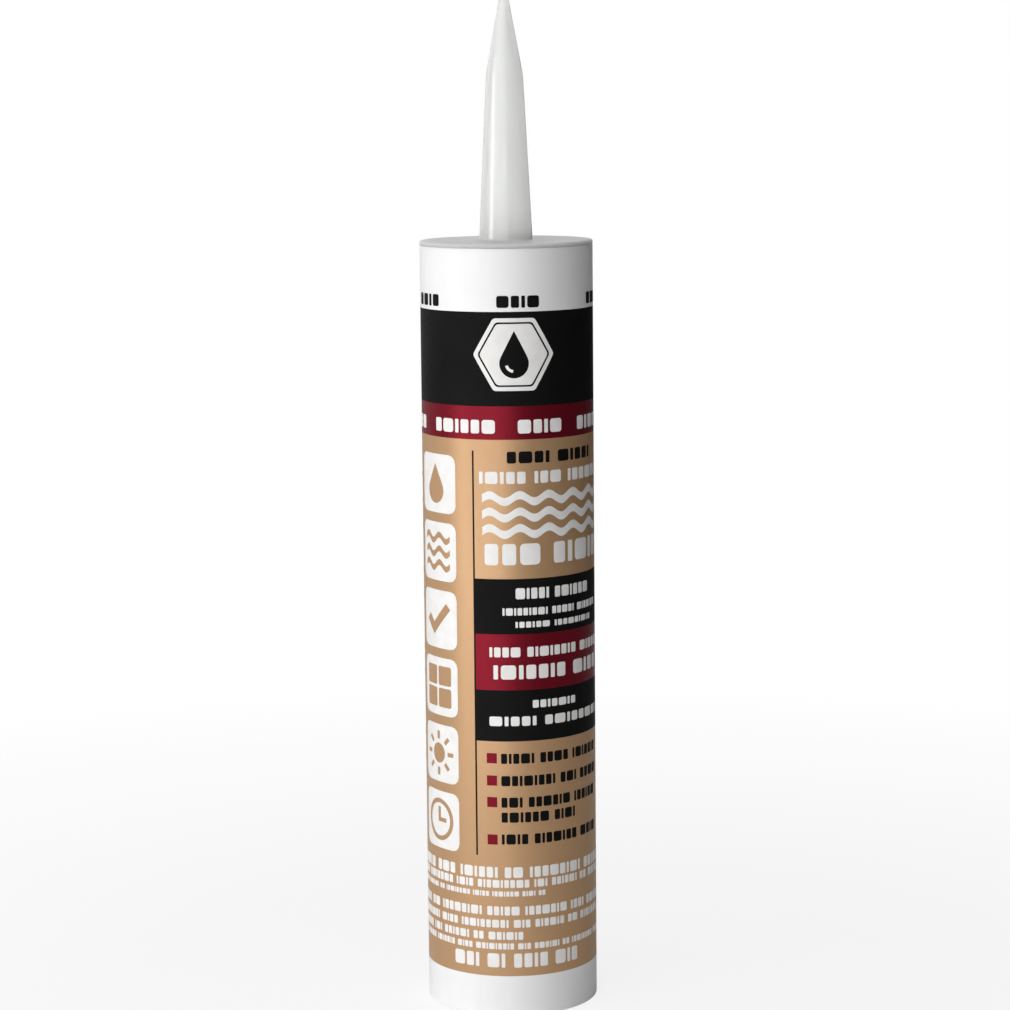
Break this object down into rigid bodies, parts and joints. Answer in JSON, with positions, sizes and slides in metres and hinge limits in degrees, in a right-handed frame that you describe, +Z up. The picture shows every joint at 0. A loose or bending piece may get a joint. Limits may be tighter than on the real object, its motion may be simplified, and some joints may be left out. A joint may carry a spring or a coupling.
{
  "type": "caulk tube",
  "caption": "Printed plastic sealant cartridge with a round barrel, a flat moulded head with a long tapered nozzle, and a sliding plunger.",
  "frame": {"origin": "centre of the barrel's open end, the face the tube stands on", "axes": "+Z up the tube's axis, from the open end to the nozzle's tip; +X to the right and -Y to the front of the printed face, as the picture shows it"},
  "size_m": [0.0488, 0.0488, 0.2859],
  "materials": {
    "barrel": "gloss",
    "nozzle_head": "gloss",
    "foil_seal": "satin",
    "sealant": "gloss",
    "plunger": "satin"
  },
  "bodies": {
    "cartridge": {"barrel": "barrel", "nozzle_head": "nozzle_head", "foil_seal": "foil_seal", "sealant": "sealant"},
    "plunger": {"plunger": "plunger"}
  },
  "joints": [
    {"name": "plunger_slide", "type": "slide", "parent": "cartridge", "child": "plunger", "axis": [0, 0, 1], "range_m": [0, 0.1778], "deforming": ["sealant"]}
  ]
}
